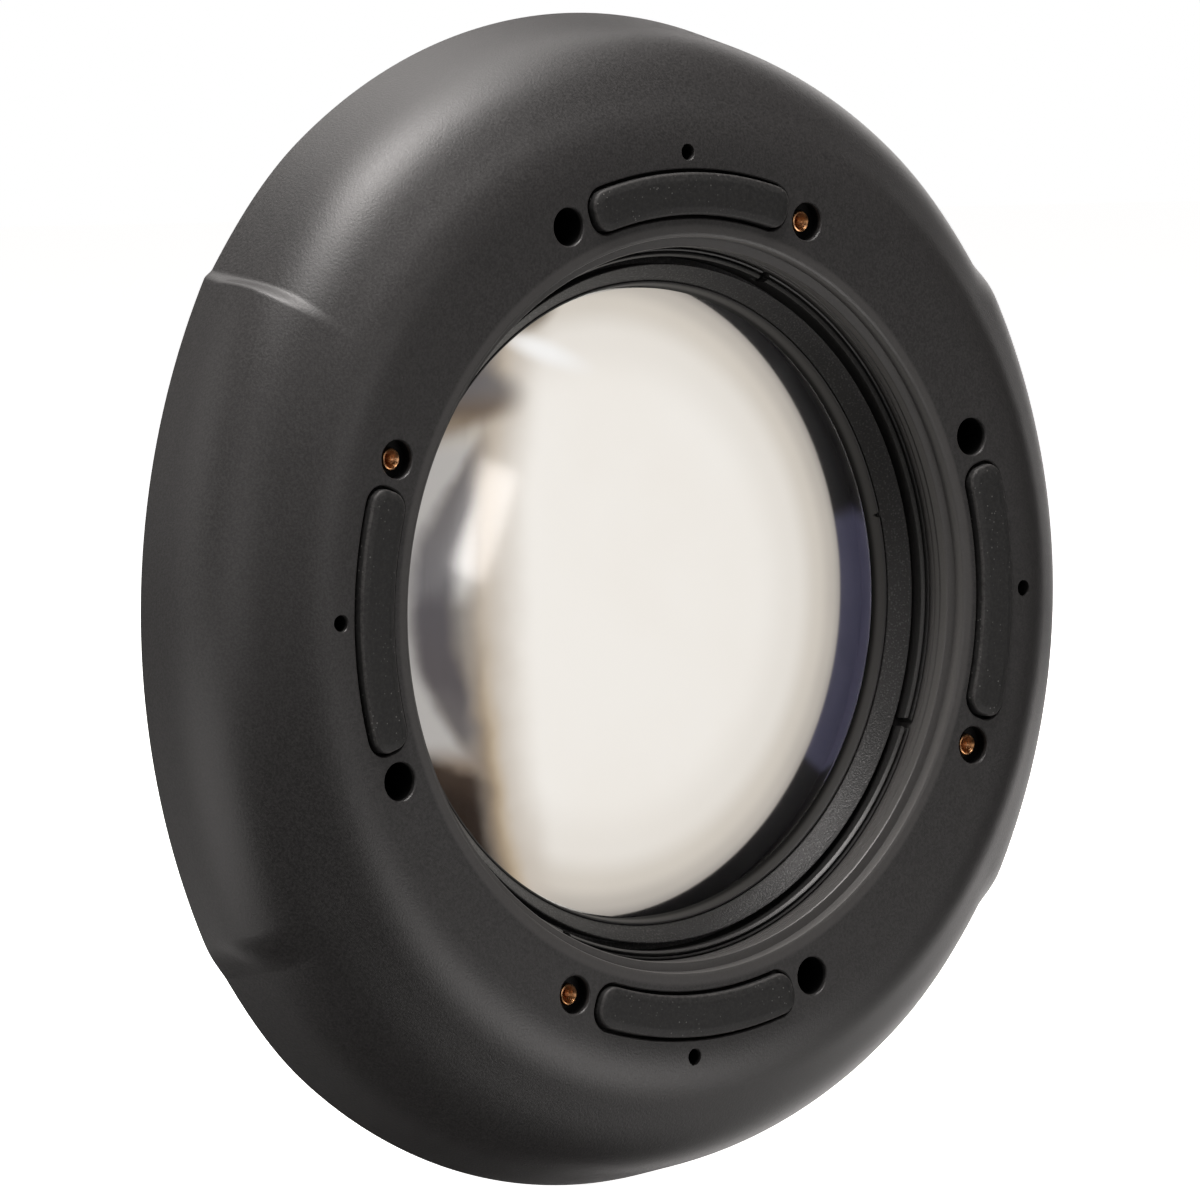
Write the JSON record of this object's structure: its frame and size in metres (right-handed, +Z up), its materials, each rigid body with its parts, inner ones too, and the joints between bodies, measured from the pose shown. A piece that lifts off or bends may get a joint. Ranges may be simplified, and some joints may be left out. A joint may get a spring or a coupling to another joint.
{
  "type": "underwater wide-angle conversion lens",
  "caption": "Round wide-angle conversion lens with a domed front glass set deep in a thick black float collar, rubber front pads and a rotating threaded rear coupling.",
  "frame": {"origin": "centre of the rear seat, where the mounting thread begins, on the optical axis", "axes": "+Y along the optical axis out of the back, so the front glass looks along -Y; +Z up; the flatter sides of the collar face -X and +X"},
  "size_m": [0.1506, 0.0667, 0.157],
  "materials": {
    "collar": "fine matt black moulding",
    "anodised": "matt black anodised, fine blasted grain",
    "pads": "matt black rubber",
    "seals": "satin black",
    "foam": "closed-cell foam",
    "brass": "machined",
    "screws": "black oxide",
    "steel": "spring steel",
    "washer": "low-friction plastic",
    "glass": "polished, anti-reflection coated"
  },
  "bodies": {
    "lens_body": {"bezel_ring": "anodised", "brass_inserts": "brass", "collar_back_cover": "collar", "collar_lock_ring": "anodised", "collar_screws": "screws", "collar_shell": "collar", "coupling_clip": "steel", "cover_gasket": "seals", "cover_screws": "screws", "foam_core": "foam", "front_glass": "glass", "front_oring": "seals", "front_pad_bottom": "pads", "front_pad_left": "pads", "front_pad_right": "pads", "front_pad_top": "pads", "front_spacer": "anodised", "glass_retaining_ring": "anodised", "lens_barrel": "anodised", "middle_glass": "glass", "rear_glass": "glass", "rear_oring": "seals", "rear_retaining_ring": "anodised", "rear_spacer": "anodised", "slip_washer": "washer"},
    "coupling": {"coupling_ring": "anodised"}
  },
  "joints": [
    {"name": "coupling_spin", "type": "hinge", "parent": "lens_body", "child": "coupling", "pos_m": [0, 0, 0], "axis": [0, 1, 0], "continuous": true}
  ]
}
